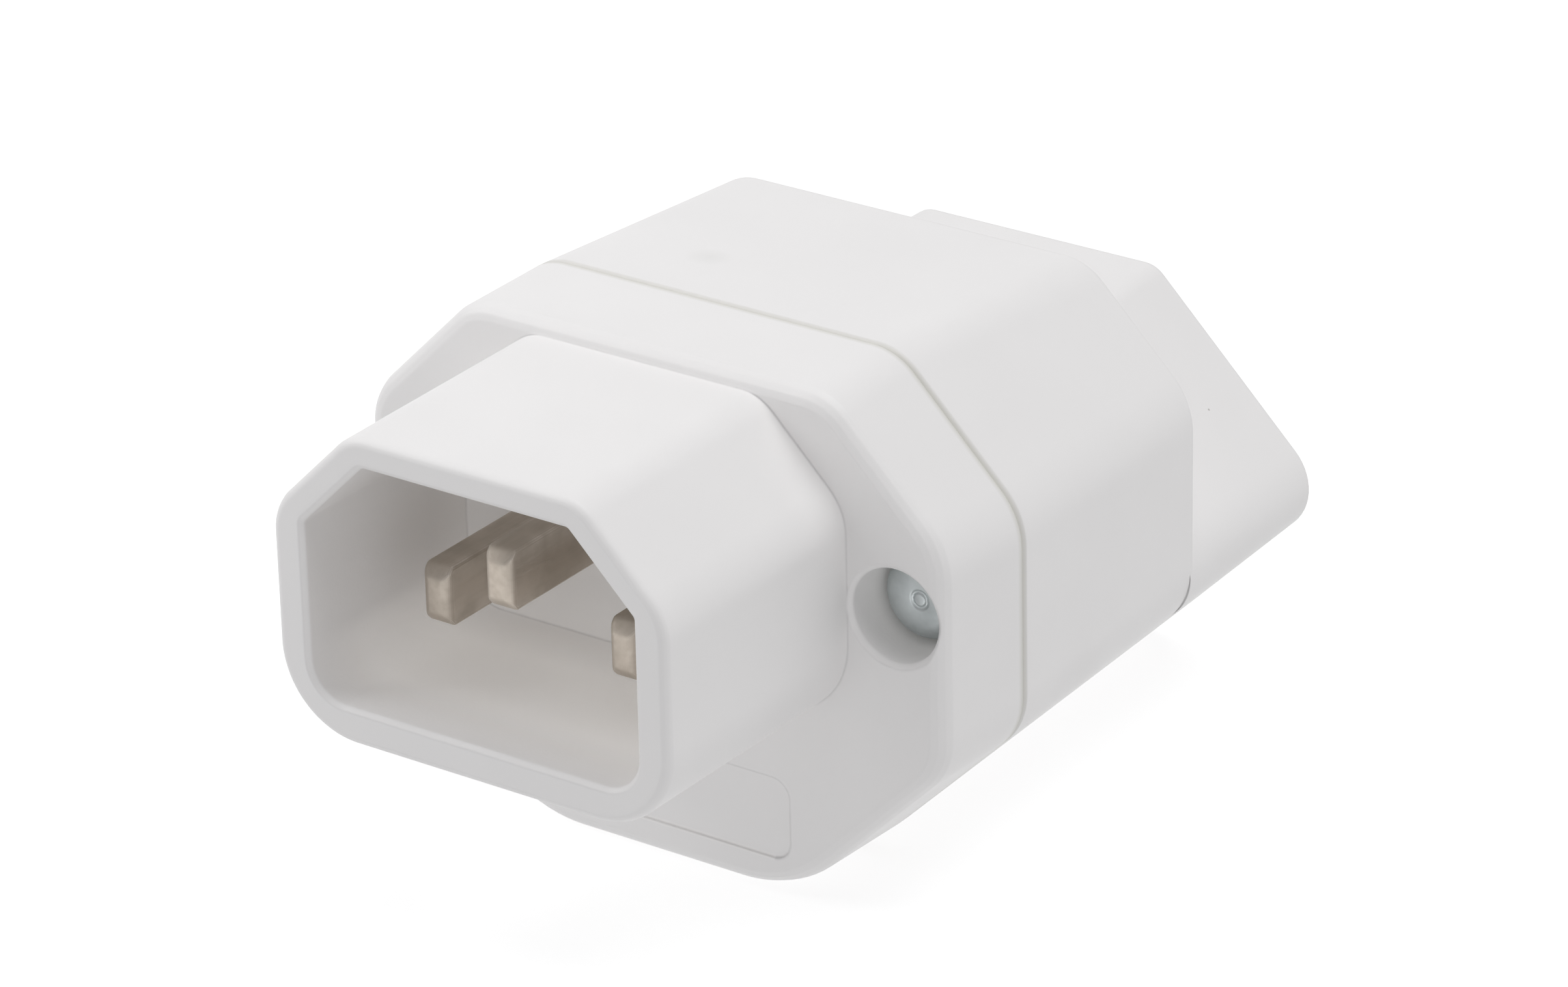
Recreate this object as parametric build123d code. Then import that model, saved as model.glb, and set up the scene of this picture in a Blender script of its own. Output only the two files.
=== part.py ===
from build123d import *
from math import sin, tan, acos, sqrt
import os

os.makedirs("parts", exist_ok=True)

# A plug adapter that turns an appliance coupler inlet into a three pole round pin socket outlet.
# Millimetres. X runs across the adapter, Y runs from the inlet mouth to the socket end, Z is up.
# The origin is under the middle of the whole adapter, on the plane it rests on.

# Overall lengths along Y
shroud_length = 18.1
skirt_depth = 8.0
shell_depth = 21.0
socket_depth = 15.2
total_length = shroud_length + skirt_depth + shell_depth + socket_depth

rim_y = -total_length / 2
face_y = rim_y + shroud_length
seam_y = face_y + skirt_depth
shoulder_y = seam_y + shell_depth
end_y = shoulder_y + socket_depth

# Housing outline at the front face, and what it gains or loses towards the seam and the shoulder
face_half = 21.65
seam_swell = 0.55
shoulder_draft = 0.35
face_top = 34.6
seam_rise = 0.15
shoulder_fall = 1.5
side_high_seam = 26.35
side_high_shoulder = 24.9
side_low_face = 11.55
side_low_seam = 11.15
side_low_end = 12.5

seam_half = face_half + seam_swell
shoulder_half = face_half - shoulder_draft
seam_top = face_top + seam_rise
shoulder_top = face_top - shoulder_fall
upper_reach_seam = face_half + side_high_seam
upper_reach_shoulder = face_half + side_high_shoulder
lower_reach_face = face_half - side_low_face
lower_reach_seam = face_half - side_low_seam
lower_reach_end = face_half - side_low_end

top_corner_r = 4.0
side_corner_r = 5.0
low_corner_r = 9.5
front_edge_r = 1.2
shoulder_edge = 0.25
wall = 2.0

# Socket end, a hexagon lying on one flat
socket_axis_z = 13.2
socket_swell = 0.6
socket_half = face_half + socket_swell
socket_taper = 0.45
socket_corner_r = 3.6
socket_top_r = 2.0
socket_edge = 0.35
socket_wall = 2.6
shoulder_wall = 2.0

# Inlet shroud and its mouth
inlet_drop = 11.0
inlet_z = face_top - inlet_drop
mouth_half = 12.25
mouth_up = 8.15
mouth_reach = 15.75
mouth_depth = 15.8
mouth_low_r = 2.5
mouth_top_r = 0.5
mouth_edge = 0.3
shroud_wall_side = 2.35
shroud_wall_flat = 1.95
shroud_wall_low = 2.45
shroud_reach_gain = 2.85
shroud_growth = 0.2
shroud_low_r = 5.6
shroud_top_r = 3.0
shroud_side_r = 4.0
rim_edge_r = 0.6

# Blades of the inlet
blade_pitch = 14.0
blade_thick = 2.0
blade_tall = 4.0
blade_drop = 2.45
earth_rise = 4.0
blade_inset = 5.8
earth_inset = 3.05
blade_tail = 5.9
tip_run_side = 0.35
tip_side = 0.45
tip_run_flat = 0.7
tip_flat = 0.85
blade_edge = 0.25
blade_fit = 0.05

# Carrier block for the blades, in a pocket behind the mouth floor
mouth_floor = 2.5
carrier_half = 11.0
carrier_tall = 13.5
carrier_deep = 4.0
carrier_fit = 0.1
pocket_corner_r = 1.5

# Housing screws
screw_inset = 3.5
screw_drop = 2.25
screw_x = face_half - screw_inset
screw_z = inlet_z - screw_drop
screw_bore_r = 3.1
screw_bore_lip = 0.3
screw_seat = 4.7
screw_boss_r = 4.3
shell_boss_r = 3.0
shell_boss_deep = 16.0
boss_gap = 0.1
head_fit = 0.25
head_r = screw_bore_r - head_fit
head_tall = 1.9
head_side = 0.7
head_slope = 1.0
head_crown = 0.2
shank_r = 1.45
shank_long = 14.5
clear_hole_r = 1.65
thread_fit = 0.05

# Seam between the two mouldings
seam_edge = 0.35
cover_edge = 0.1
tongue_long = 1.5
collar_long = 2.0
collar_step = 0.1
tongue_thick = 0.9
tongue_fit = 0.06

# Bare field below the shroud
field_half = 10.2
field_low = 2.4
field_tall = 5.6
field_deep = 0.15
field_corner_r = 1.3

# Round pin socket
recess_half = 18.4
recess_up = 8.75
recess_deep = 10.5
recess_corner_r = 2.0
recess_point_r = 2.6
recess_edge = 0.5
socket_floor = 2.5
pin_pitch = 19.0
pin_r = 2.0
earth_offset = 5.0
pin_hole_fit = 0.2
pin_hole_lead = 0.5

# Contacts behind the socket floor
sleeve_fit = 0.03
sleeve_wall = 0.65
sleeve_flare = 0.3
sleeve_flare_long = 0.6
sleeve_long = 10.0
slot_wide = 0.8
slot_long = 6.5
strap_thick = 0.8
strap_tall = 4.6
strap_overlap = 3.0
rivet_r = 0.8
rivet_head_r = 1.3
rivet_head_tall = 0.5
rivet_fit = 0.03
rivet_back = 2.2
spring_thick = 0.55
spring_long = 4.0
spring_gap = 1.2
spring_fit = 0.04
spring_set = 1.7

# Retainer plate in front of the sleeves
retainer_thick = 3.5
retainer_fit = 0.12
retainer_slot_fit = 0.2
retainer_pin_r = 2.4

root2 = sqrt(2)


def rounded_face(corners, y):
    # A flat face across Y from corners given as x, z and corner radius
    count = len(corners)
    starts = []
    mids = []
    ends = []
    for i in range(count):
        x, z, r = corners[i]
        px, pz, _ = corners[i - 1]
        nx, nz, _ = corners[(i + 1) % count]
        a = Vector(px - x, pz - z).normalized()
        b = Vector(nx - x, nz - z).normalized()
        half = acos(a.dot(b)) / 2
        tangent = r / tan(half)
        middle = (a + b).normalized()
        depth = r / sin(half)
        point = Vector(x, z)
        centre = point + middle * depth
        starts.append(point + a * tangent)
        ends.append(point + b * tangent)
        mids.append(centre - middle * r)
    edges = []
    for i in range(count):
        j = (i + 1) % count
        s = (starts[i].X, y, starts[i].Y)
        m = (mids[i].X, y, mids[i].Y)
        e = (ends[i].X, y, ends[i].Y)
        n = (starts[j].X, y, starts[j].Y)
        edges.append(Edge.make_three_point_arc(s, m, e))
        edges.append(Edge.make_line(e, n))
    return Face(Wire(edges))


def mirror_corners(right):
    # Corners of the right half from top to bottom, completed with the left half
    left = [(-x, z, r) for x, z, r in reversed(right)]
    return right + left


def shrink(r, inset):
    return max(r - inset, 0.3)


def eight_sided(half, top, upper, lower, inset=0.0):
    # Housing outline: flat top and bottom, upright sides and slanted corners
    half = half - inset
    top = top - inset
    low = inset
    upper = upper - inset * root2
    lower = lower - inset * root2
    right = [
        (upper - top, top, shrink(top_corner_r, inset)),
        (half, upper - half, shrink(side_corner_r, inset)),
        (half, half - lower, shrink(side_corner_r, inset)),
        (lower + low, low, shrink(low_corner_r, inset)),
    ]
    return mirror_corners(right)


def lower_at(y):
    # Width of the flat underside, narrowing evenly from the seam to the socket end
    share = (y - seam_y) / (end_y - seam_y)
    return lower_reach_seam + (lower_reach_end - lower_reach_seam) * share


def socket_upper_at(y):
    # Reach of the upper slanted faces of the socket end
    share = (end_y - y) / (end_y - shoulder_y)
    return socket_half + socket_axis_z + socket_taper * share


def six_sided(y, inset=0.0):
    # Outline of the socket end
    upper = socket_upper_at(y) - inset * root2
    lower = lower_at(y) - inset * root2
    top = 2 * socket_axis_z - inset
    low = inset
    right = [
        (upper - top, top, shrink(socket_top_r, inset)),
        ((upper + lower) / 2, (upper - lower) / 2, shrink(socket_corner_r, inset)),
        (lower + low, low, shrink(low_corner_r, inset)),
    ]
    return mirror_corners(right)


def tapered(front, front_y, back, back_y):
    # Solid between two outlines whose sides run parallel, with the same radius along each corner
    a = [Vector(x, front_y, z) for x, z, r in front]
    b = [Vector(x, back_y, z) for x, z, r in back]
    count = len(front)
    faces = [Face(Wire.make_polygon(a)), Face(Wire.make_polygon(b))]
    for i in range(count):
        j = (i + 1) % count
        faces.append(Face(Wire.make_polygon([a[i], a[j], b[j], b[i]])))
    solid = Solid(Shell(faces))
    for radius in sorted(set(r for x, z, r in front)):
        middles = [(a[i] + b[i]) / 2 for i in range(count) if front[i][2] == radius]
        edges = [solid.edges().sort_by_distance(m)[0] for m in middles]
        solid = fillet(edges, radius).solid()
    return solid


def edges_at(solid, y):
    return solid.edges().filter_by_position(Axis.Y, y - 0.01, y + 0.01)


def softened(solid, y, r):
    # End at y rounded off in three narrow flats that follow a quarter round of radius r.
    # The numbers are where lines that touch the round at 67.5, 45 and 22.5 degrees cross.
    for on_end, beside in ((0.332, 0.801), (0.254, 0.47), (0.215, 0.215)):
        end = solid.faces().filter_by_position(Axis.Y, y - 0.01, y + 0.01)[0]
        solid = chamfer(edges_at(solid, y), r * on_end, r * beside, reference=end)
    return solid


def cover_body(inset=0.0, start=face_y, stop=seam_y):
    # Skirt of the front cover between two planes
    def at(y):
        share = (y - face_y) / skirt_depth
        return eight_sided(
            face_half + (seam_half - face_half) * share,
            face_top + (seam_top - face_top) * share,
            upper_reach_seam,
            lower_reach_face + (lower_reach_seam - lower_reach_face) * share,
            inset,
        )
    return tapered(at(start), start, at(stop), stop)


def shell_body(inset=0.0, start=seam_y, stop=shoulder_y):
    # Tall part of the rear housing between two planes
    def at(y):
        share = (y - seam_y) / shell_depth
        return eight_sided(
            seam_half + (shoulder_half - seam_half) * share,
            seam_top + (shoulder_top - seam_top) * share,
            upper_reach_seam + (upper_reach_shoulder - upper_reach_seam) * share,
            lower_at(y),
            inset,
        )
    return tapered(at(start), start, at(stop), stop)


def socket_body(inset=0.0, start=shoulder_y, stop=end_y):
    # Hexagonal socket end between two planes
    return tapered(six_sided(start, inset), start, six_sided(stop, inset), stop)


def rod(x, z, radius, start, stop):
    # Round bar along Y
    plane = Plane(origin=(x, start, z), x_dir=(1, 0, 0), z_dir=(0, 1, 0))
    return extrude(plane * Circle(radius), stop - start)


def flare(x, y, z, wide, narrow, depth):
    # Cone that narrows towards the inlet side from its wide end at y
    low = (Align.CENTER, Align.CENTER, Align.MIN)
    return Pos(x, y, z) * Rot(90, 0, 0) * Cone(wide, narrow, depth, align=low)


def block(x0, x1, y0, y1, z0, z1):
    centre = Pos((x0 + x1) / 2, (y0 + y1) / 2, (z0 + z1) / 2)
    return centre * Box(x1 - x0, y1 - y0, z1 - z0)


def inlet_corners(half, up, down, reach, low_r, top_r, side_r):
    # Inlet outline: slanted upper corners, rounded lower corners
    right = [
        (reach - up, inlet_z + up, top_r),
        (half, inlet_z + reach - half, side_r),
        (half, inlet_z - down, low_r),
    ]
    return mirror_corners(right)


# Positions of the blades and of the pin holes
blade_z = inlet_z - blade_drop
earth_blade_z = blade_z + earth_rise
pocket_y = rim_y + mouth_depth + mouth_floor
carrier_back_y = pocket_y + carrier_deep
tail_end_y = carrier_back_y + blade_tail
floor_y = end_y - recess_deep
floor_back_y = floor_y - socket_floor
sleeve_front_y = floor_back_y - sleeve_long
retainer_y = sleeve_front_y - retainer_thick
seat_y = face_y + screw_seat
shell_boss_end_y = seam_y + shell_boss_deep

blade_spots = {
    "line": (-blade_pitch / 2, blade_z, blade_inset),
    "neutral": (blade_pitch / 2, blade_z, blade_inset),
    "earth": (0.0, earth_blade_z, earth_inset),
}
pin_spots = {
    "line": (-pin_pitch / 2, socket_axis_z),
    "neutral": (pin_pitch / 2, socket_axis_z),
    "earth": (0.0, socket_axis_z + earth_offset),
}


def front_cover():
    # Skirt with a softened front edge
    skirt = cover_body()
    skirt = softened(skirt, face_y, front_edge_r)
    skirt = chamfer(edges_at(skirt, seam_y), cover_edge)
    cover = skirt + shroud()
    # Hollow inside of the skirt
    cover = cover - cover_body(wall, face_y + wall, seam_y)
    boss_zone = cover_body(0.3, face_y + wall / 2, seam_y)
    for side in (-1, 1):
        boss = rod(side * screw_x, screw_z, screw_boss_r, face_y + wall / 2, seam_y)
        cover = cover + (boss & boss_zone)
    # Mouth with a broken edge
    cover = cover - mouth()
    rim = cover.faces().sort_by(Axis.Y)[0]
    cover = chamfer(rim.inner_wires()[0].edges(), mouth_edge)
    # Pocket for the carrier block
    cover = cover - carrier_box(carrier_fit, pocket_y, face_y + wall + 1)
    # Slots for the blades
    for x, z, inset in blade_spots.values():
        hx = blade_thick / 2 + blade_fit
        hz = blade_tall / 2 + blade_fit
        cover = cover - block(x - hx, x + hx, rim_y + mouth_depth - 1, pocket_y + 1, z - hz, z + hz)
    # Screw bores with a rounded lip
    for side in (-1, 1):
        cover = cover - bore_cutter(side * screw_x)
        cover = cover - rod(side * screw_x, screw_z, clear_hole_r, seat_y - 1, seam_y + 1)
    # Bare field
    cover = cover - field_cutter()
    return cover


def shroud():
    # A little larger at its foot than at its softened rim
    half = mouth_half + shroud_wall_side
    up = mouth_up + shroud_wall_flat
    down = mouth_up + shroud_wall_low
    reach = mouth_reach + shroud_reach_gain
    radii = (shroud_low_r, shroud_top_r, shroud_side_r)
    small = inlet_corners(half, up, down, reach, *radii)
    large = inlet_corners(half + shroud_growth, up, down, reach + shroud_growth, *radii)
    solid = tapered(small, rim_y, large, face_y + front_edge_r)
    return softened(solid, rim_y, rim_edge_r)


def mouth():
    # Cavity of the inlet
    corners = inlet_corners(
        mouth_half, mouth_up, mouth_up, mouth_reach, mouth_low_r, mouth_top_r, mouth_top_r
    )
    return extrude(rounded_face(corners, rim_y), mouth_depth, dir=(0, 1, 0))


def carrier_box(grow, start, stop):
    half = carrier_half + grow
    tall = carrier_tall / 2 + grow
    corners = [
        (half, inlet_z + tall, pocket_corner_r),
        (half, inlet_z - tall, pocket_corner_r),
    ]
    face = rounded_face(mirror_corners(corners), start)
    return extrude(face, stop - start, dir=(0, 1, 0))


def bore_cutter(x):
    # Straight bore whose edge at the face is broken
    r = screw_bore_r
    lip = screw_bore_lip
    profile = [
        Edge.make_line((0, face_y - 2), (r + lip, face_y - 2)),
        Edge.make_line((r + lip, face_y - 2), (r + lip, face_y)),
        Edge.make_line((r + lip, face_y), (r, face_y + lip)),
        Edge.make_line((r, face_y + lip), (r, seat_y)),
        Edge.make_line((r, seat_y), (0, seat_y)),
        Edge.make_line((0, seat_y), (0, face_y - 2)),
    ]
    solid = revolve(Face(Wire(profile)), Axis.Y)
    return Pos(x, 0, screw_z) * solid


def field_cutter():
    corners = [
        (field_half, field_low + field_tall, field_corner_r),
        (field_half, field_low, field_corner_r),
    ]
    face = rounded_face(mirror_corners(corners), face_y - 1)
    return extrude(face, 1 + field_deep, dir=(0, 1, 0))


def rear_inside(inset_extra, start, stop):
    # Inside of the rear housing between two planes, both outlines together
    tall_stop = min(stop, shoulder_y - shoulder_wall)
    inside = None
    if start < tall_stop:
        inside = shell_body(wall + inset_extra, start, tall_stop)
    low = socket_body(socket_wall + inset_extra, start, stop)
    if inside is None:
        return low
    return inside + low


def rear_housing():
    # Tall part and socket end, which starts far enough forward to fill the rounded edge
    shell = shell_body()
    shell = chamfer(edges_at(shell, seam_y), seam_edge)
    shell = chamfer(edges_at(shell, shoulder_y), shoulder_edge)
    end = socket_body(0.0, shoulder_y - 2 * shoulder_edge, end_y)
    end = chamfer(edges_at(end, end_y), socket_edge)
    body = shell + end
    # Tongue that enters the front cover
    outer = cover_body(wall + tongue_fit, seam_y - tongue_long, seam_y)
    inner = cover_body(wall + tongue_fit + tongue_thick, seam_y - tongue_long - 1, seam_y)
    tongue = outer - inner
    for side in (-1, 1):
        tongue = tongue - rod(
            side * screw_x, screw_z, screw_boss_r + boss_gap, seam_y - tongue_long - 1, seam_y
        )
    body = body - rear_inside(0.0, seam_y - 0.01, floor_back_y)
    # The first stretch of the wall is thicker inwards and carries the tongue
    collar = shell_body(wall - 0.1, seam_y, seam_y + collar_long)
    collar_inside = wall + tongue_fit + tongue_thick + collar_step
    collar = collar - shell_body(collar_inside, seam_y - 0.01, seam_y + collar_long + 0.01)
    body = body + collar + tongue
    # Screw bosses
    for side in (-1, 1):
        body = body + rod(
            side * screw_x, screw_z, shell_boss_r, seam_y, shell_boss_end_y
        )
        body = body - rod(
            side * screw_x, screw_z, shank_r + thread_fit, seam_y - 1, shell_boss_end_y - wall
        )
    # Socket recess with a bevelled mouth
    body = body - recess_cutter()
    # Pin holes with a bevelled lead
    for x, z in pin_spots.values():
        r = pin_r + pin_hole_fit
        body = body - rod(x, z, r, floor_back_y - 1, floor_y + 1)
        body = body - flare(x, floor_y, z, r + pin_hole_lead, r, pin_hole_lead)
    return body


def recess_section(y, grow):
    up = recess_up + grow
    half = recess_half + grow * root2
    right = [
        (half - up, socket_axis_z + up, recess_corner_r + grow),
        (half, socket_axis_z, recess_point_r + grow),
        (half - up, socket_axis_z - up, recess_corner_r + grow),
    ]
    return rounded_face(mirror_corners(right), y)


def recess_cutter():
    cut = extrude(recess_section(floor_y, 0.0), recess_deep + 1, dir=(0, 1, 0))
    bevel = loft(
        [recess_section(end_y - recess_edge, 0.0), recess_section(end_y + 0.02, recess_edge)],
        ruled=True,
    )
    return cut + bevel


def blade(name):
    # Flat blade with a bevelled tip and broken edges
    x, z, inset = blade_spots[name]
    tip_y = rim_y + inset
    hx = blade_thick / 2
    hz = blade_tall / 2
    piece = block(x - hx, x + hx, tip_y, tail_end_y, z - hz, z + hz)
    piece = chamfer(piece.edges().filter_by(Axis.Y), blade_edge)
    piece = piece - tip_cutter(x, tip_y, z)
    hole_y = tail_end_y - rivet_back
    return piece - cross_rod(x - 2, x + 2, hole_y, z, rivet_r + rivet_fit)


def tip_cutter(x, tip_y, z):
    # What the four bevels take off the blade's end
    hx = blade_thick / 2
    hz = blade_tall / 2
    far = 2.0
    flat = Polygon(
        (tip_y - far, hz + far),
        (tip_y + tip_run_flat, hz + far),
        (tip_y + tip_run_flat, hz),
        (tip_y, hz - tip_flat),
        (tip_y - far, hz - tip_flat),
        align=None,
    )
    upright = Plane(origin=(x - far, 0, z), x_dir=(0, 1, 0), z_dir=(1, 0, 0))
    cut = extrude(upright * flat, 2 * far)
    cut = cut + extrude(upright * flat.mirror(Plane.XZ), 2 * far)
    side = Polygon(
        (hx + far, tip_y - far),
        (hx + far, tip_y + tip_run_side),
        (hx, tip_y + tip_run_side),
        (hx - tip_side, tip_y),
        (hx - tip_side, tip_y - far),
        align=None,
    )
    level = Plane(origin=(x, 0, z - hz - far), x_dir=(1, 0, 0), z_dir=(0, 0, 1))
    cut = cut + extrude(level * side, 2 * (hz + far))
    return cut + extrude(level * side.mirror(Plane.YZ), 2 * (hz + far))


def cross_rod(x0, x1, y, z, radius):
    # Round bar along X
    plane = Plane(origin=(x0, y, z), x_dir=(0, 1, 0), z_dir=(1, 0, 0))
    return extrude(plane * Circle(radius), x1 - x0)


def strap_side(name):
    # Side of the blade that carries the strap
    return -1 if name == "line" else 1


def contact(name):
    # Strap on the blade tail and sleeve for the round pin, one stamping
    bx, bz, inset = blade_spots[name]
    px, pz = pin_spots[name]
    side = strap_side(name)
    inner = bx + side * blade_thick / 2
    outer = inner + side * strap_thick
    x0 = min(inner, outer)
    half = strap_tall / 2
    front = carrier_back_y + 0.4
    bend = tail_end_y + 0.4
    join = sleeve_front_y + strap_overlap
    points = [
        (front, bz - half),
        (bend - 1.5, bz - half),
        (sleeve_front_y, pz - half),
        (join, pz - half),
        (join, pz + half),
        (sleeve_front_y + 1.0, pz + half),
        (bend, bz + half),
        (front, bz + half),
    ]
    plane = Plane(origin=(x0, 0, 0), x_dir=(0, 1, 0), z_dir=(1, 0, 0))
    strap = extrude(plane * Polygon(*points, align=None), strap_thick)
    bore_r = pin_r + sleeve_fit
    sleeve = rod(px, pz, bore_r + sleeve_wall, sleeve_front_y, floor_back_y)
    piece = strap + sleeve
    piece = piece - rod(px, pz, bore_r, sleeve_front_y - 1, floor_back_y + 1)
    piece = piece - flare(px, floor_back_y, pz, bore_r + sleeve_flare, bore_r, sleeve_flare_long)
    reach = bore_r + sleeve_wall + 1
    slot_start = floor_back_y - slot_long
    piece = piece - block(
        px - slot_wide / 2, px + slot_wide / 2, slot_start, floor_back_y + 1, pz - reach, pz + reach
    )
    hole_y = tail_end_y - rivet_back
    beyond = blade_thick / 2 + strap_thick + 1
    return piece - cross_rod(bx - beyond, bx + beyond, hole_y, bz, rivet_r + rivet_fit)


def rivet(name):
    # Rivet through the blade tail and the strap
    bx, bz, inset = blade_spots[name]
    side = strap_side(name)
    start = bx - side * blade_thick / 2
    stop = bx + side * (blade_thick / 2 + strap_thick)
    x0 = min(start, stop)
    x1 = max(start, stop)
    y = tail_end_y - rivet_back
    shank = cross_rod(x0 - 0.1, x1 + 0.1, y, bz, rivet_r)
    head_a = cross_rod(x0 - rivet_head_tall, x0, y, bz, rivet_head_r)
    head_b = cross_rod(x1, x1 + rivet_head_tall, y, bz, rivet_head_r)
    return head_a + shank + head_b


def spring(name):
    # Split ring that presses the sleeve halves on the pin
    px, pz = pin_spots[name]
    inner = pin_r + sleeve_fit + sleeve_wall + spring_fit
    stop = floor_back_y - spring_set
    start = stop - spring_long
    ring = rod(px, pz, inner + spring_thick, start, stop)
    ring = ring - rod(px, pz, inner, start - 1, stop + 1)
    reach = inner + spring_thick + 1
    return ring - block(
        px - spring_gap / 2, px + spring_gap / 2, start - 1, stop + 1, pz - reach, pz
    )


def carrier():
    # Insulating block that holds the blades in the front cover
    piece = carrier_box(0.0, pocket_y, carrier_back_y)
    for x, z, inset in blade_spots.values():
        hx = blade_thick / 2 + blade_fit
        hz = blade_tall / 2 + blade_fit
        piece = piece - block(x - hx, x + hx, pocket_y - 1, carrier_back_y + 1, z - hz, z + hz)
    return piece


def retainer():
    # Insulating plate that keeps the sleeves against the socket floor
    piece = rear_inside(retainer_fit, retainer_y, sleeve_front_y)
    for side in (-1, 1):
        piece = piece - rod(
            side * screw_x, screw_z, shell_boss_r + retainer_fit, retainer_y - 1, sleeve_front_y + 1
        )
    gap = retainer_slot_fit
    for name, (px, pz) in pin_spots.items():
        bx, bz, inset = blade_spots[name]
        piece = piece - rod(px, pz, retainer_pin_r, retainer_y - 1, sleeve_front_y + 1)
        side = strap_side(name)
        a = bx + side * (blade_thick / 2 - gap)
        b = bx + side * (blade_thick / 2 + strap_thick + gap)
        low = pz - strap_tall / 2 - gap
        high = bz + strap_tall / 2 + gap
        piece = piece - block(min(a, b), max(a, b), retainer_y - 1, sleeve_front_y + 1, low, high)
    return piece


def screw(x):
    # Pan head screw, head towards the inlet side
    top_y = seat_y - head_tall
    rim = seat_y - head_side
    profile = [
        (0, seat_y + shank_long),
        (shank_r, seat_y + shank_long),
        (shank_r, seat_y),
        (head_r, seat_y),
        (head_r, rim),
        (head_r - head_slope, top_y + head_crown),
        (0, top_y),
    ]
    solid = revolve(Face(Wire.make_polygon(profile)), Axis.Y)
    return Pos(x, 0, screw_z) * solid


def save(shape, name):
    export_step(shape, "parts/" + name + ".step")
    solids = shape.solids()
    print(name, len(solids), round(sum(s.volume for s in solids), 1))


save(front_cover(), "front_cover")
save(rear_housing(), "rear_housing")
save(carrier(), "blade_carrier")
save(retainer(), "contact_retainer")
for pole in ("line", "neutral", "earth"):
    save(blade(pole), "blade_" + pole)
    save(contact(pole), "contact_" + pole)
    save(spring(pole), "spring_" + pole)
rivets = Compound(children=[rivet(pole) for pole in ("line", "neutral", "earth")])
save(rivets, "strap_rivets")
screws = Compound(children=[screw(-screw_x), screw(screw_x)])
save(screws, "housing_screws")
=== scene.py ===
# %% [markdown]
# # A white plug adapter, dressed around its CAD frame
# The adapter has two white mouldings screwed together, a shroud with three flat nickel blades
# in front and a hexagonal socket end behind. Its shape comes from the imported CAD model, which is
# loaded first and never moved. Everything is in metres, X across, Y from the inlet to the socket
# end, Z up. The finishes are made here, and so are the pieces that need finer edges than the CAD.

import math

import bmesh
import bpy
from mathutils import Matrix, Vector


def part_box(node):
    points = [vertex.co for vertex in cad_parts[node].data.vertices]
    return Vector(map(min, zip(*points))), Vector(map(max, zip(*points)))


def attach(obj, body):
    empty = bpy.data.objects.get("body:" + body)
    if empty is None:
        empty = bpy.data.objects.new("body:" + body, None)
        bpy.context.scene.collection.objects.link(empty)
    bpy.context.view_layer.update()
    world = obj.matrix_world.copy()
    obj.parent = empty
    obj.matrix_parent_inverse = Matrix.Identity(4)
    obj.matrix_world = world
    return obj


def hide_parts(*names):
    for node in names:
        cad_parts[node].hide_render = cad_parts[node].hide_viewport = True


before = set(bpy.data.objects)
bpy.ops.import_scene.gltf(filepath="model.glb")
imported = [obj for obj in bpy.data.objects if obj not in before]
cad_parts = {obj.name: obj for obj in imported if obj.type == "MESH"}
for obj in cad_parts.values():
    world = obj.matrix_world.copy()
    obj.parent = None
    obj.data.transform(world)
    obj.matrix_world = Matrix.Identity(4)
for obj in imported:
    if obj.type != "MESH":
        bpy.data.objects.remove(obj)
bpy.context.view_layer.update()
print("nodes:", sorted(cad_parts))

# %% [markdown]
# ## Camera
# A product photograph like this one is taken from about a third of a metre with a long lens. The
# camera is set by its place and by the direction of its three axes, because that is how a camera
# fit gives them. The tiny shift keeps the picture's middle where the photograph has it.

# %% Camera
camera_place = Vector((0.22141, -0.30753, 0.19692))
camera_right = Vector((0.81784, 0.57507, -0.02086))
camera_up = Vector((-0.22764, 0.35661, 0.90610))
camera_back = Vector((0.52851, -0.73629, 0.42255))

camera_data = bpy.data.cameras.new("camera")
camera_data.lens = 153.06
camera_data.sensor_width = 36.0
camera_data.shift_x = 0.00266
camera_data.shift_y = -0.00403
camera_data.clip_start = 0.01
camera_data.clip_end = 20.0
camera = bpy.data.objects.new("camera", camera_data)
bpy.context.collection.objects.link(camera)
turn = Matrix((camera_right, camera_up, camera_back)).transposed()
camera.matrix_world = Matrix.Translation(camera_place) @ turn.to_4x4()
bpy.context.scene.camera = camera
print("camera stands", round(camera_place.length, 3), "m from the origin")

# %% [markdown]
# ## Floor
# The adapter stands on a white table. The floor is a wide pale plane that glows a little, so that
# it stays white under the adapter as a lit table does. A plane that bright would light the
# underside and the sides too much, so diffuse light doesn't see it: they get the weaker light of
# the world below the horizon.


# %% Floor
def new_material(name):
    # Empty node material with its surface shader
    material = bpy.data.materials.new(name)
    material.use_nodes = True
    tree = material.node_tree
    return material, tree, tree.nodes["Principled BSDF"]


floor_size = 6.0
floor_drop = 0.0001

bpy.ops.object.select_all(action="DESELECT")
bpy.ops.mesh.primitive_plane_add(size=floor_size, location=(0, 0, 0))
floor = bpy.context.object
floor.name = "floor"
floor_paint, tree, shader = new_material("floor_paper")
shader.inputs["Base Color"].default_value = (0.55, 0.55, 0.55, 1)
shader.inputs["Roughness"].default_value = 0.9
shader.inputs["Specular IOR Level"].default_value = 0.0
shader.inputs["Emission Color"].default_value = (1, 1, 1, 1)
shader.inputs["Emission Strength"].default_value = 0.66
floor.data.materials.append(floor_paint)
floor.visible_diffuse = False
floor.location.z = -floor_drop
print("floor is", floor.dimensions.x, "m wide")

# %% [markdown]
# ## World
# The table stands in a white tent. The tent is the world: bright walls round the horizon that get
# darker overhead, and below the horizon the light that a table would give back. The ramp reads
# the height of each direction, from 0 at the horizon to 1 straight up.

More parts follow.
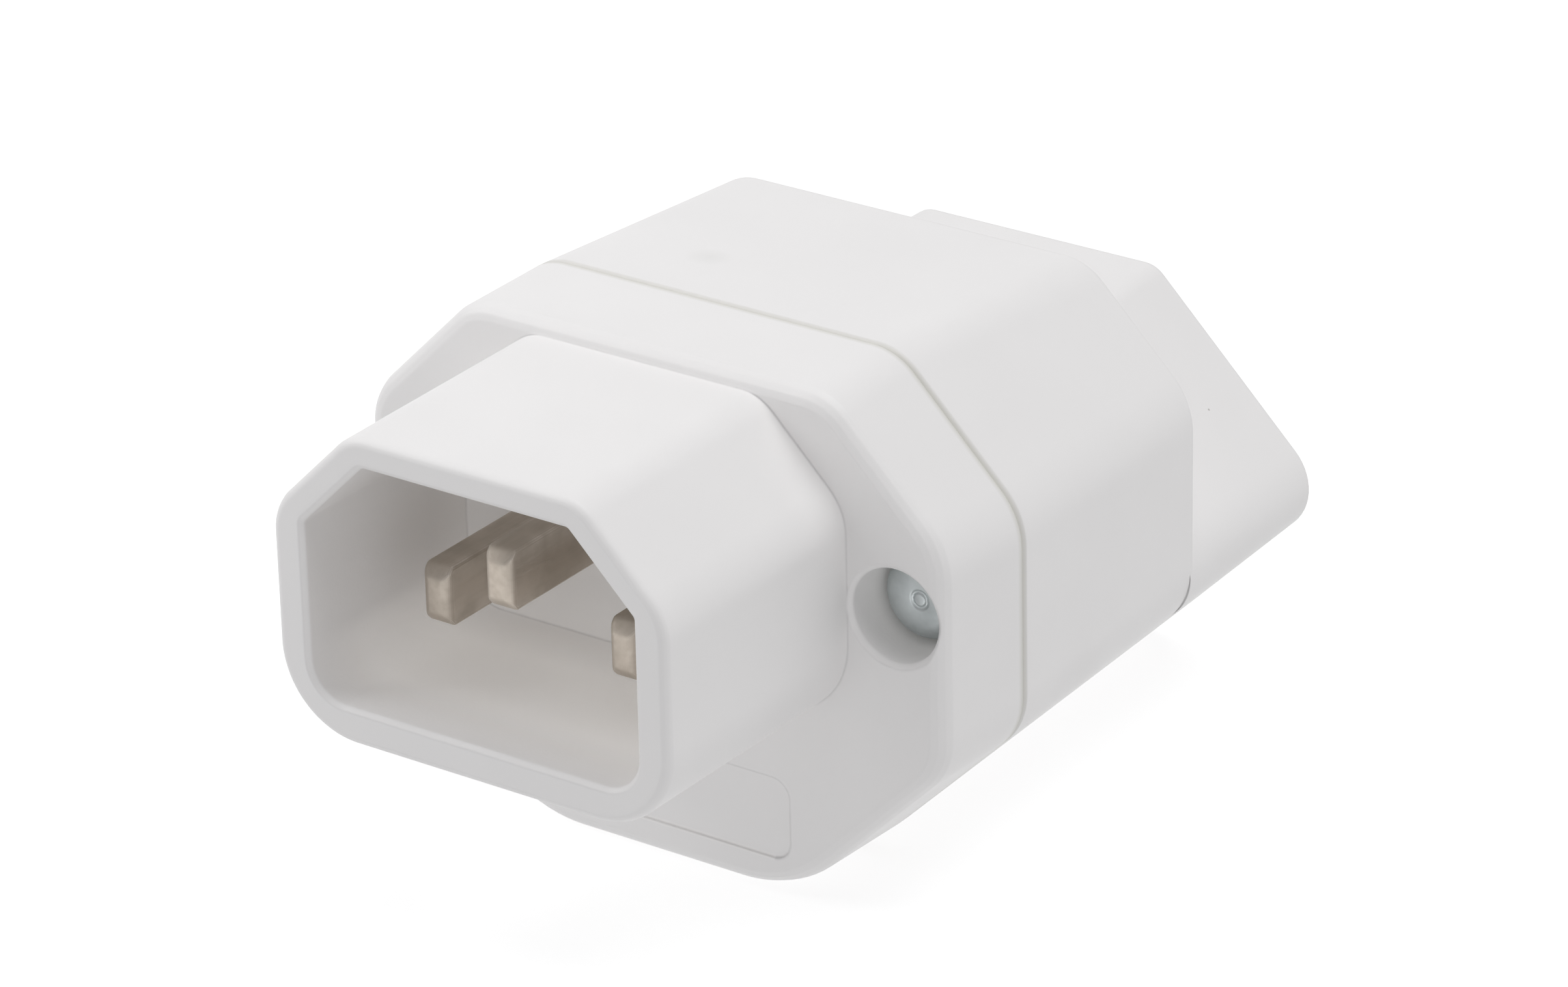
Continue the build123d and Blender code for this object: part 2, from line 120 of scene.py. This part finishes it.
# %% World light
table_white = (0.68, 0.68, 0.685, 1)
horizon_white = (0.66, 0.66, 0.67, 1)
zenith_white = (0.16, 0.16, 0.165, 1)
horizon_height = 0.1
zenith_height = 0.85

scene = bpy.context.scene
scene.view_settings.view_transform = "Standard"
scene.view_settings.look = "None"
world = bpy.data.worlds.new("tent")
scene.world = world
world.use_nodes = True
sky = world.node_tree
sky_place = sky.nodes.new("ShaderNodeTexCoord")
sky_split = sky.nodes.new("ShaderNodeSeparateXYZ")
sky_ramp = sky.nodes.new("ShaderNodeValToRGB")
sky.links.new(sky_place.outputs["Generated"], sky_split.inputs["Vector"])
sky.links.new(sky_split.outputs["Z"], sky_ramp.inputs["Fac"])
stops = sky_ramp.color_ramp.elements
stops[0].position = 0.0
stops[0].color = table_white
stops[1].position = zenith_height
stops[1].color = zenith_white
horizon = stops.new(horizon_height)
horizon.color = horizon_white
sky.links.new(sky_ramp.outputs["Color"], sky.nodes["Background"].inputs["Color"])
sky.nodes["Background"].inputs["Strength"].default_value = 1.0
print("world is a white tent with", len(stops), "stops")

# %% [markdown]
# ## Lamps
# A large soft box above, a little to the right and behind, makes the top and the slanted faces
# lighter than the upright ones. A small lamp near the left side lights the front.

# %% Lamps
lamp_aim = Vector((0, 0, 0.02))


def soft_lamp(name, place, size, watts):
    # Square soft box that points at the middle of the adapter
    data = bpy.data.lights.new(name, "AREA")
    data.shape = "SQUARE"
    data.size = size
    data.energy = watts
    lamp = bpy.data.objects.new(name, data)
    bpy.context.collection.objects.link(lamp)
    lamp.location = place
    lamp.rotation_euler = (lamp_aim - Vector(place)).to_track_quat("-Z", "Y").to_euler()
    return lamp


soft_lamp("lamp_top", (0.18, 0.09, 0.76), 0.7, 3.9)
soft_lamp("lamp_left", (-0.15, -0.08, 0.15), 0.12, 0.12)

# %% [markdown]
# ## Node helpers
# Each helper adds one kind of node to a tree and returns its output, so that the finishes further
# on read as sums. They work on Object coordinates, which are metres in the adapter's own frame and
# run on without a seam from one face to the next.


# %% Texture and colour helpers
def object_place(tree):
    return tree.nodes.new("ShaderNodeTexCoord").outputs["Object"]


def noise(tree, scale, detail, coordinates, roughness=0.5):
    node = tree.nodes.new("ShaderNodeTexNoise")
    node.inputs["Scale"].default_value = scale
    node.inputs["Detail"].default_value = detail
    node.inputs["Roughness"].default_value = roughness
    tree.links.new(coordinates, node.inputs["Vector"])
    return node.outputs["Fac"]


def ramp(tree, factor, low, high, start=0.35, stop=0.65):
    # Blend between two colours as the factor goes from start to stop
    node = tree.nodes.new("ShaderNodeValToRGB")
    node.color_ramp.elements[0].position = start
    node.color_ramp.elements[0].color = (*low, 1)
    node.color_ramp.elements[1].position = stop
    node.color_ramp.elements[1].color = (*high, 1)
    tree.links.new(factor, node.inputs["Fac"])
    return node.outputs["Color"]


def tint(tree, factor, base, colour):
    # Blend from the base to a colour as the factor goes from 0 to 1
    node = tree.nodes.new("ShaderNodeMix")
    node.data_type = "RGBA"
    node.inputs["B"].default_value = (*colour, 1)
    tree.links.new(factor, node.inputs["Factor"])
    tree.links.new(base, node.inputs["A"])
    return node.outputs["Result"]


# %% Number helpers
def object_axes(tree):
    split = tree.nodes.new("ShaderNodeSeparateXYZ")
    tree.links.new(object_place(tree), split.inputs["Vector"])
    return split.outputs


def span(tree, value, low, high, start=0.3, stop=0.7):
    # Number that goes from low to high as the value goes from start to stop
    node = tree.nodes.new("ShaderNodeMapRange")
    node.inputs["From Min"].default_value = start
    node.inputs["From Max"].default_value = stop
    node.inputs["To Min"].default_value = low
    node.inputs["To Max"].default_value = high
    tree.links.new(value, node.inputs["Value"])
    return node.outputs["Result"]


def calculate(tree, operation, first, second=0.0):
    # Math node; each input is a number or a socket
    node = tree.nodes.new("ShaderNodeMath")
    node.operation = operation
    for slot, value in zip(node.inputs, (first, second)):
        if isinstance(value, (int, float)):
            slot.default_value = value
        else:
            tree.links.new(value, slot)
    return node.outputs[0]


# %% Distance helpers
def away(tree, value, centre=0.0):
    # How far a value is from the centre, on either side
    return calculate(tree, "ABSOLUTE", calculate(tree, "SUBTRACT", value, centre))


def radial(tree, first, second):
    # Length of the diagonal over two distances
    squares = [calculate(tree, "MULTIPLY", side, side) for side in (first, second)]
    return calculate(tree, "SQRT", calculate(tree, "ADD", *squares))


def all_under(tree, *pairs):
    # One where each value is under its limit, otherwise zero
    result = 1.0
    for value, limit in pairs:
        under = calculate(tree, "LESS_THAN", value, limit)
        result = calculate(tree, "MULTIPLY", result, under)
    return result


# %% Surface helpers
edge_samples = 6
grain_depth = 0.00002
print("grain is at most", grain_depth, "m deep")


def rounded_normal(tree, radius):
    # Normal that the surface would have with its edges rounded
    node = tree.nodes.new("ShaderNodeBevel")
    node.samples = edge_samples
    node.inputs["Radius"].default_value = radius
    return node.outputs["Normal"]


def grain(tree, height, strength):
    # Fine bumps on the surface
    node = tree.nodes.new("ShaderNodeBump")
    node.inputs["Strength"].default_value = strength
    node.inputs["Distance"].default_value = grain_depth
    tree.links.new(height, node.inputs["Height"])
    return node


# %% [markdown]
# ## Moulded white plastic
# The housings are moulded in a dense white plastic with a satin surface. Real mouldings are never
# one even white: the tone drifts a little, the surface has a fine grain from the spark eroded tool,
# and gloss varies where it was handled. Three noises of different size give tone, gloss and grain.
# Where the two mouldings meet, the joint is tinted a little darker and yellower: partly grease and
# dust, partly painted shade of the groove.

# %% Plastic
tone_scale = 60.0
handled_scale = 210.0
fine_scale = 5200.0
gloss_drift = 0.14
plastic_edge = 0.0003
seam_y = -0.00505
seam_core = 0.00006
seam_reach = 0.0005
seam_share = 0.5
seam_grease_and_shade = (0.56, 0.55, 0.46)


def plastic(name, light, dark, grain_strength, gloss):
    material, tree, shader = new_material(name)
    shader.name = "shader"
    shader.inputs["IOR"].default_value = 1.5
    place = object_place(tree)
    tone = ramp(tree, noise(tree, tone_scale, 3.0, place), dark, light)
    # Darker, yellower band along the seam: partly grease and dust, partly painted shade of the
    # groove between the mouldings
    from_seam = away(tree, object_axes(tree)["Y"], seam_y)
    seam = span(tree, from_seam, seam_share, 0.0, seam_core, seam_reach)
    tree.links.new(tint(tree, seam, tone, seam_grease_and_shade), shader.inputs["Base Color"])
    handled = noise(tree, handled_scale, 4.0, place, 0.6)
    dull = span(tree, handled, gloss, gloss + gloss_drift)
    tree.links.new(dull, shader.inputs["Roughness"])
    bump = grain(tree, noise(tree, fine_scale, 2.0, place), grain_strength)
    tree.links.new(rounded_normal(tree, plastic_edge), bump.inputs["Normal"])
    tree.links.new(bump.outputs["Normal"], shader.inputs["Normal"])
    return material


white_light = (0.90, 0.888, 0.882)
white_dark = (0.885, 0.873, 0.867)
cover_white = plastic("cover_white", white_light, white_dark, 0.35, 0.40)
shell_white = plastic("shell_white", white_light, white_dark, 0.35, 0.42)
insulator = plastic("insulator_cream", (0.72, 0.70, 0.66), (0.68, 0.66, 0.62), 0.5, 0.5)
print("plastics:", [m.name for m in (cover_white, shell_white, insulator)])

# %% [markdown]
# ## Light through the plastic
# Two millimetres of white plastic let some light through, and it arrives warmer. That is why the
# inside of the shroud glows faintly and isn't black at its end. The glow is a weak warm emission
# on the mouth's end wall and along its bottom, fading to nothing at the rim. Limits in Object
# coordinates, one for each wall of the mouth, keep it off the outside.

# %% Glow in the mouth
mouth_half = 0.0125
mouth_up = 0.0084
mouth_z = 0.0236
mouth_lean = 0.0162
mouth_rim_y = -0.0308
mouth_floor_y = -0.0150
wall_glow = 0.03
wall_fade = (-0.0190, -0.0155)
bottom_glow = 0.17
bottom_fade = (-0.0081, -0.0045)
rim_fade = (mouth_rim_y, -0.0262)
end_share = 0.3
end_fade = (-0.0195, -0.0158)


def mouth_glow(tree, x, y, z):
    height = calculate(tree, "SUBTRACT", z, mouth_z)
    inside = all_under(
        tree,
        (away(tree, x), mouth_half),
        (away(tree, height), mouth_up),
        (calculate(tree, "ADD", away(tree, x), height), mouth_lean),
        (y, mouth_floor_y),
    )
    wall = span(tree, y, 0.0, wall_glow, *wall_fade)
    bottom = span(tree, height, bottom_glow, 0.0, *bottom_fade)
    past_rim = span(tree, y, 0.0, 1.0, *rim_fade)
    off_end = span(tree, y, 1.0, end_share, *end_fade)
    along = calculate(tree, "MULTIPLY", past_rim, off_end)
    bottom = calculate(tree, "MULTIPLY", bottom, along)
    return calculate(tree, "MULTIPLY", inside, calculate(tree, "ADD", wall, bottom))


print("mouth glow reaches", mouth_floor_y - mouth_rim_y, "m deep")

# %% [markdown]
# The two screw bores and the low step of the bare field under the shroud get the same glow,
# because they are as deep in shade. The three glows add up to one emission strength.

# %% Glow in the bores and on the step
screw_x = 0.01815
screw_z = 0.02135
bore_reach = 0.0032
bore_glow = 0.05
bore_fade = (-0.0128, -0.0105)
step_z = 0.0024
step_half = 0.0090
step_y = -0.0130
step_reach_y = 0.0003
step_glow = 0.07
step_fade = (0.00006, 0.0002)


def bores_glow(tree, x, y, z):
    beside = calculate(tree, "SUBTRACT", away(tree, x), screw_x)
    from_axis = radial(tree, beside, calculate(tree, "SUBTRACT", z, screw_z))
    deep = span(tree, y, 0.0, bore_glow, *bore_fade)
    return calculate(tree, "MULTIPLY", all_under(tree, (from_axis, bore_reach)), deep)


def field_glow(tree, x, y, z):
    near = span(tree, away(tree, z, step_z), step_glow, 0.0, *step_fade)
    on_step = all_under(
        tree, (away(tree, x), step_half), (away(tree, y, step_y), step_reach_y)
    )
    return calculate(tree, "MULTIPLY", on_step, near)


# %% [markdown]
# The colour of the glow is the same everywhere, so it is set on the shader. Only its strength
# comes from the nodes.

# %% Emission of the front cover
tree = cover_white.node_tree
shader = tree.nodes["shader"]
x, y, z = object_axes(tree)
glow = calculate(tree, "ADD", mouth_glow(tree, x, y, z), bores_glow(tree, x, y, z))
glow = calculate(tree, "ADD", glow, field_glow(tree, x, y, z))
shader.inputs["Emission Color"].default_value = (1.0, 0.965, 0.91, 1)
tree.links.new(glow, shader.inputs["Emission Strength"])
print("cover_white has", len(tree.nodes), "nodes")

# %% [markdown]
# ## Metals
# The blades are brass with a nickel coat, rolled along their length and rubbed by the connector.
# A noise stretched along Y gives the fine rolling streaks, and a larger one gives the slightly
# warm, uneven nickel. The screws have a blue grey zinc coat that is duller and has no direction.
# Edges are partly rubbed bright and partly carry a painted highlight: where the normal of a rounded
# copy of the surface turns away from the surface's own normal, the tone goes up and the roughness
# down.

# %% Rubbed edges with a painted highlight
metal_edge = 0.00022
rubbed_and_highlight_share = 0.9
rubbed_and_highlight_agree = (0.93, 0.995)
patch_least = 0.3
patch_cloud = (0.4, 0.55)


def rubbed_and_highlit_edge(tree, cloud):
    # Near one on the edges, in patches that follow the cloud, and zero on flat faces
    surface = tree.nodes.new("ShaderNodeNewGeometry")
    agree = tree.nodes.new("ShaderNodeVectorMath")
    agree.operation = "DOT_PRODUCT"
    tree.links.new(rounded_normal(tree, metal_edge), agree.inputs[0])
    tree.links.new(surface.outputs["True Normal"], agree.inputs[1])
    edge = span(tree, agree.outputs["Value"], rubbed_and_highlight_share, 0.0, *rubbed_and_highlight_agree)
    patches = span(tree, cloud, patch_least, 1.0, *patch_cloud)
    return calculate(tree, "MULTIPLY", edge, patches)


print("metal edges are rubbed over", metal_edge, "m")


# %% Metal
streak_scale = 2600.0
cloud_scale = 420.0
streak_drift = 0.16
edge_polish = 0.12


def metal(name, light, dark, gloss, stretch, grain_strength, rubbed_and_highlit=(0.8, 0.8, 0.8)):
    material, tree, shader = new_material(name)
    shader.inputs["Metallic"].default_value = 1.0
    place = object_place(tree)
    mapping = tree.nodes.new("ShaderNodeMapping")
    mapping.inputs["Scale"].default_value = (1.0, stretch, 1.0)
    tree.links.new(place, mapping.inputs["Vector"])
    streaks = noise(tree, streak_scale, 3.0, mapping.outputs["Vector"])
    cloud = noise(tree, cloud_scale, 3.0, place)
    edge = rubbed_and_highlit_edge(tree, cloud)
    # The lighter edge colour is partly wear and partly a painted highlight
    colour = tint(tree, edge, ramp(tree, cloud, dark, light), rubbed_and_highlit)
    tree.links.new(colour, shader.inputs["Base Color"])
    dull = span(tree, streaks, gloss, gloss + streak_drift)
    polish = calculate(tree, "MULTIPLY", edge, edge_polish)
    tree.links.new(calculate(tree, "SUBTRACT", dull, polish), shader.inputs["Roughness"])
    bump = grain(tree, streaks, grain_strength)
    tree.links.new(bump.outputs["Normal"], shader.inputs["Normal"])
    return material


# %% The five metals
# Light edge colours: partly worn metal, partly painted highlight
worn_and_highlit_nickel = (0.88, 0.84, 0.78)
worn_and_highlit_brass = (0.88, 0.76, 0.50)
worn_and_highlit_zinc = (0.70, 0.74, 0.745)

blade_nickel = metal(
    "blade_nickel", (0.57, 0.51, 0.445), (0.49, 0.44, 0.38), 0.48, 0.06, 0.4, worn_and_highlit_nickel
)
contact_brass = metal(
    "contact_brass", (0.74, 0.60, 0.33), (0.66, 0.52, 0.28), 0.3, 0.1, 0.5, worn_and_highlit_brass
)
rivet_brass = metal(
    "rivet_brass", (0.72, 0.60, 0.40), (0.64, 0.52, 0.34), 0.35, 1.0, 0.4, worn_and_highlit_brass
)
spring_steel = metal("spring_steel", (0.58, 0.59, 0.61), (0.5, 0.51, 0.53), 0.25, 0.2, 0.4)
screw_zinc = metal(
    "screw_zinc", (0.62, 0.66, 0.665), (0.54, 0.58, 0.585), 0.42, 1.0, 0.4, worn_and_highlit_zinc
)
metals = (blade_nickel, contact_brass, rivet_brass, spring_steel, screw_zinc)
print("metals:", [m.name for m in metals])

# %% [markdown]
# ## Marks of moulding on the rear housing
# Two small faults show on the real thing. Opposite the gate the plastic has met in a shallow round
# flow mark on top, and a few dark specks of burnt plastic lie in the white. The mark is a soft dip
# in the bump and tone round one point, and the specks sit at the middle of Voronoi cells.

# %% Flow mark and specks
mark_x = -0.0053
mark_y = 0.0014
mark_reach = 0.0016
mark_above_z = 0.03
mark_tone = (0.84, 0.83, 0.82)
speck_cells = 95.0
speck_share = 0.75
speck_fade = (0.006, 0.012)
speck_tone = (0.30, 0.26, 0.22)

tree = shell_white.node_tree
shader = tree.nodes["shader"]
x, y, z = object_axes(tree)
across = calculate(tree, "SUBTRACT", x, mark_x)
along = calculate(tree, "SUBTRACT", y, mark_y)
dip = span(tree, radial(tree, across, along), 1.0, 0.0, 0.0, mark_reach)
on_top = calculate(tree, "GREATER_THAN", z, mark_above_z)
dip = calculate(tree, "MULTIPLY", dip, on_top)
cells = tree.nodes.new("ShaderNodeTexVoronoi")
cells.inputs["Scale"].default_value = speck_cells
tree.links.new(object_place(tree), cells.inputs["Vector"])
speck = span(tree, cells.outputs["Distance"], speck_share, 0.0, *speck_fade)
colour = shader.inputs["Base Color"].links[0].from_socket
colour = tint(tree, dip, colour, mark_tone)
colour = tint(tree, speck, colour, speck_tone)
tree.links.new(colour, shader.inputs["Base Color"])
print("flow mark at", mark_x, mark_y)

# %% [markdown]
# The tone alone would look painted on, so the same dip also bends the surface's normal inwards.

# %% Dip of the flow mark
mark_deep = 0.00012
mark_bend = 0.6

hollow = tree.nodes.new("ShaderNodeBump")
hollow.invert = True
hollow.inputs["Strength"].default_value = mark_bend
hollow.inputs["Distance"].default_value = mark_deep
tree.links.new(dip, hollow.inputs["Height"])
tree.links.new(shader.inputs["Normal"].links[0].from_socket, hollow.inputs["Normal"])
tree.links.new(hollow.outputs["Normal"], shader.inputs["Normal"])
print("shell_white has", len(tree.nodes), "nodes")

# %% [markdown]
# ## Finishes on the CAD nodes
# Each CAD node keeps its mesh and gets its finish in all its slots.

# %% Finishes on the CAD nodes
finishes = {
    "front_cover": cover_white,
    "rear_housing": shell_white,
    "blade_carrier": insulator,
    "contact_retainer": insulator,
    "strap_rivets": rivet_brass,
    "housing_screws": screw_zinc,
}
for pole in ("line", "neutral", "earth"):
    finishes["blade_" + pole] = blade_nickel
    finishes["contact_" + pole] = contact_brass
    finishes["spring_" + pole] = spring_steel
for node, finish in finishes.items():
    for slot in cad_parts[node].material_slots:
        slot.material = finish
    print(node, "is", finish.name)

# %% [markdown]
# ## Modelling helpers
# The finer pieces are modelled in edit mode, where faces are picked by their place and direction.
# A bevel modifier rounds each finished piece, because a stamped or turned edge is never sharp, and
# then the piece gets its finish.

# %% Modelling helpers
facing = 0.9
crease_degrees = 20


def to_inlet(centre, normal):
    # True for a face that looks towards the inlet
    return normal.y < -facing


def to_outlet(centre, normal):
    # True for a face that looks towards the outlet
    return normal.y > facing


def select_faces(mesh_object, keep):
    # In edit mode, select the faces for which keep(centre, normal) is true
    bpy.ops.mesh.select_mode(type="FACE")
    bpy.ops.mesh.select_all(action="DESELECT")
    edit = bmesh.from_edit_mesh(mesh_object.data)
    for face in edit.faces:
        face.select = keep(face.calc_center_median(), face.normal)
    edit.select_flush_mode()
    bmesh.update_edit_mesh(mesh_object.data)


def finish_piece(piece, name, finish, bevel, segments):
    # Round the edges with a bevel, shade smooth and give it its finish
    piece.name = name
    rounding = piece.modifiers.new("rounding", "BEVEL")
    rounding.width = bevel
    rounding.segments = segments
    rounding.limit_method = "ANGLE"
    rounding.angle_limit = math.radians(crease_degrees)
    bpy.ops.object.select_all(action="DESELECT")
    piece.select_set(True)
    bpy.context.view_layer.objects.active = piece
    bpy.ops.object.modifier_apply(modifier="rounding")
    bpy.ops.object.shade_smooth()
    piece.data.materials.clear()
    piece.data.materials.append(finish)


# %% [markdown]
# ## Finer blades
# The CAD blades have plain bevelled tips. A stamped blade is softer: its tip is pressed down in two
# steps and every edge is rolled over. Each blade starts as a box with the size of its CAD node. The
# end face is drawn out twice and narrowed, and then a bevel of three segments rounds all the edges.

# %% Tip of a blade
tip_step = 0.00035
tip_first = 0.00038
tip_second = 0.00042
tip_side = 0.00040


def draw_tip(piece, end, thick, tall):
    # Draw the end face out in two steps, each smaller than the last
    select_faces(piece, to_inlet)
    was = (thick, tall)
    tall_first = tall - 2 * tip_first
    tall_second = tall_first - 2 * tip_second
    for now in ((thick, tall_first), (thick - 2 * tip_side, tall_second)):
        bpy.ops.mesh.extrude_region_move(TRANSFORM_OT_translate={"value": (0, -tip_step, 0)})
        bpy.ops.transform.resize(
            value=(now[0] / was[0], 1, now[1] / was[1]), center_override=end
        )
        was = now


print("blade tips are drawn out by", 2 * tip_step, "m")

# %% Blades
blade_edge = 0.00022


def fine_blade(pole):
    low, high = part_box("blade_" + pole)
    start = low[1] + 2 * tip_step
    middle = [(low[i] + high[i]) / 2 for i in range(3)]
    thick = high[0] - low[0]
    tall = high[2] - low[2]
    bpy.ops.object.select_all(action="DESELECT")
    bpy.ops.mesh.primitive_cube_add(size=1.0, location=(0, 0, 0))
    piece = bpy.context.object
    piece.scale = (thick, high[1] - start, tall)
    piece.location = (middle[0], (start + high[1]) / 2, middle[2])
    bpy.ops.object.transform_apply(location=True, rotation=False, scale=True)
    bpy.ops.object.mode_set(mode="EDIT")
    draw_tip(piece, (middle[0], low[1], middle[2]), thick, tall)
    bpy.ops.object.mode_set(mode="OBJECT")
    finish_piece(piece, "blade_" + pole + "_fine", blade_nickel, blade_edge, 3)
    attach(piece, "root")
    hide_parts("blade_" + pole)
    return piece


for pole in ("line", "neutral", "earth"):
    piece = fine_blade(pole)
    print(piece.name, len(piece.data.polygons), "faces")

# %% [markdown]
# ## Finer screw heads
# The screws are driven from a smooth pan head that has a small nib in a shallow ring at its middle.
# A disc gets its shoulder from bevelled edges, the ring and nib come from insets and short
# extrusions, and the shank grows out of the back face.

# %% Head of a screw
head_r = 0.00285
head_sides = 48
head_tall = 0.0019
head_shoulder = 0.00105
ring_inset = 0.0011
ring_wide = 0.00012
ring_deep = 0.00012
nib_slope = 0.00008
flat_facing = 0.99
hair = 0.00001


def model_head(piece, top_y):
    # Rounded shoulder, then a shallow ring round a nib that is as high as the face
    select_faces(piece, to_inlet)
    bpy.ops.mesh.bevel(offset=head_shoulder, segments=5, profile=0.5, affect="EDGES")
    # Only the flat face in front, which no face of the shoulder reaches
    select_faces(
        piece, lambda centre, normal: normal.y < -flat_facing and centre.y < top_y + hair
    )
    bpy.ops.mesh.inset(thickness=ring_inset)
    bpy.ops.mesh.inset(thickness=ring_wide, depth=-ring_deep)
    bpy.ops.mesh.inset(thickness=ring_wide, depth=0.0)
    bpy.ops.mesh.inset(thickness=nib_slope, depth=ring_deep)


print("screw heads are", 2 * head_r, "m wide")

# %% Screws
shank_r = 0.00145
screw_edge = 0.00006


def fine_screw(side):
    low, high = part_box("housing_screws")
    top_y = low[1]
    bpy.ops.object.select_all(action="DESELECT")
    bpy.ops.mesh.primitive_cylinder_add(vertices=head_sides, radius=head_r, depth=head_tall)
    piece = bpy.context.object
    bpy.ops.transform.rotate(value=math.radians(90), orient_axis="X", center_override=(0, 0, 0))
    piece.location = (side * (high[0] - head_r), top_y + head_tall / 2, (low[2] + high[2]) / 2)
    bpy.ops.object.transform_apply(location=True, rotation=True, scale=True)
    bpy.ops.object.mode_set(mode="EDIT")
    model_head(piece, top_y)
    # Shank out of the back face
    select_faces(piece, to_outlet)
    bpy.ops.mesh.inset(thickness=head_r - shank_r)
    shank_long = high[1] - top_y - head_tall
    bpy.ops.mesh.extrude_region_move(TRANSFORM_OT_translate={"value": (0, shank_long, 0)})
    bpy.ops.object.mode_set(mode="OBJECT")
    name = "screw_right_fine" if side > 0 else "screw_left_fine"
    finish_piece(piece, name, screw_zinc, screw_edge, 2)
    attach(piece, "root")
    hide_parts("housing_screws")
    return piece


for side in (-1, 1):
    piece = fine_screw(side)
    print(piece.name, len(piece.data.polygons), "faces", piece.dimensions)
